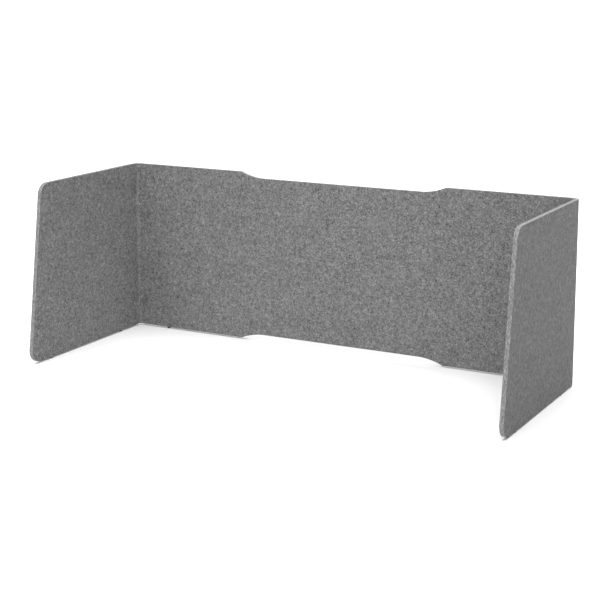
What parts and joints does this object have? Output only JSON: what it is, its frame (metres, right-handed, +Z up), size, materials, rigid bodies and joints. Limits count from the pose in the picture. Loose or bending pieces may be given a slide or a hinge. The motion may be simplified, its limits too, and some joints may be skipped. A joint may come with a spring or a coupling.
{
  "type": "study carrel",
  "caption": "Free-standing felt study carrel: a notched back panel and two wings that fold on soft round bends, with leaning front edges and small rubber feet.",
  "frame": {"origin": "on the desk top, under the middle of the whole object's box", "axes": "+X to the sitter's right, +Y away from the sitter towards the back panel, +Z up"},
  "size_m": [1.4, 0.537, 0.504],
  "materials": {
    "grey_felt": "matt heather grey needled felt with fine pale and dark fibres",
    "board_core": "matt pale grey pressed fibre, seen only on the cut edges",
    "foot_rubber": "matt dark rubber",
    "screw_steel": "zinc-plated steel"
  },
  "bodies": {
    "back": {"back_outer_felt": "grey_felt", "back_core": "board_core", "back_inner_felt": "grey_felt", "back_left_foot": "foot_rubber", "back_right_foot": "foot_rubber", "back_left_foot_screw": "screw_steel", "back_right_foot_screw": "screw_steel", "left_bend_outer_felt": "grey_felt", "left_bend_filler": "board_core", "left_bend_inner_felt": "grey_felt", "right_bend_outer_felt": "grey_felt", "right_bend_filler": "board_core", "right_bend_inner_felt": "grey_felt"},
    "left_wing": {"left_wing_outer_felt": "grey_felt", "left_wing_core": "board_core", "left_wing_inner_felt": "grey_felt", "left_wing_front_foot": "foot_rubber", "left_wing_rear_foot": "foot_rubber", "left_wing_front_foot_screw": "screw_steel", "left_wing_rear_foot_screw": "screw_steel"},
    "right_wing": {"right_wing_outer_felt": "grey_felt", "right_wing_core": "board_core", "right_wing_inner_felt": "grey_felt", "right_wing_front_foot": "foot_rubber", "right_wing_rear_foot": "foot_rubber", "right_wing_front_foot_screw": "screw_steel", "right_wing_rear_foot_screw": "screw_steel"}
  },
  "joints": [
    {"name": "left_fold", "type": "hinge", "parent": "back", "child": "left_wing", "pos_m": [-0.687, 0.25546, 0.254], "axis": [0, 0, 1], "range_deg": [-90, 90], "deforming": ["left_bend_outer_felt", "left_bend_filler", "left_bend_inner_felt"]},
    {"name": "right_fold", "type": "hinge", "parent": "back", "child": "right_wing", "pos_m": [0.687, 0.25546, 0.254], "axis": [0, 0, -1], "range_deg": [-90, 90], "deforming": ["right_bend_outer_felt", "right_bend_filler", "right_bend_inner_felt"]}
  ]
}
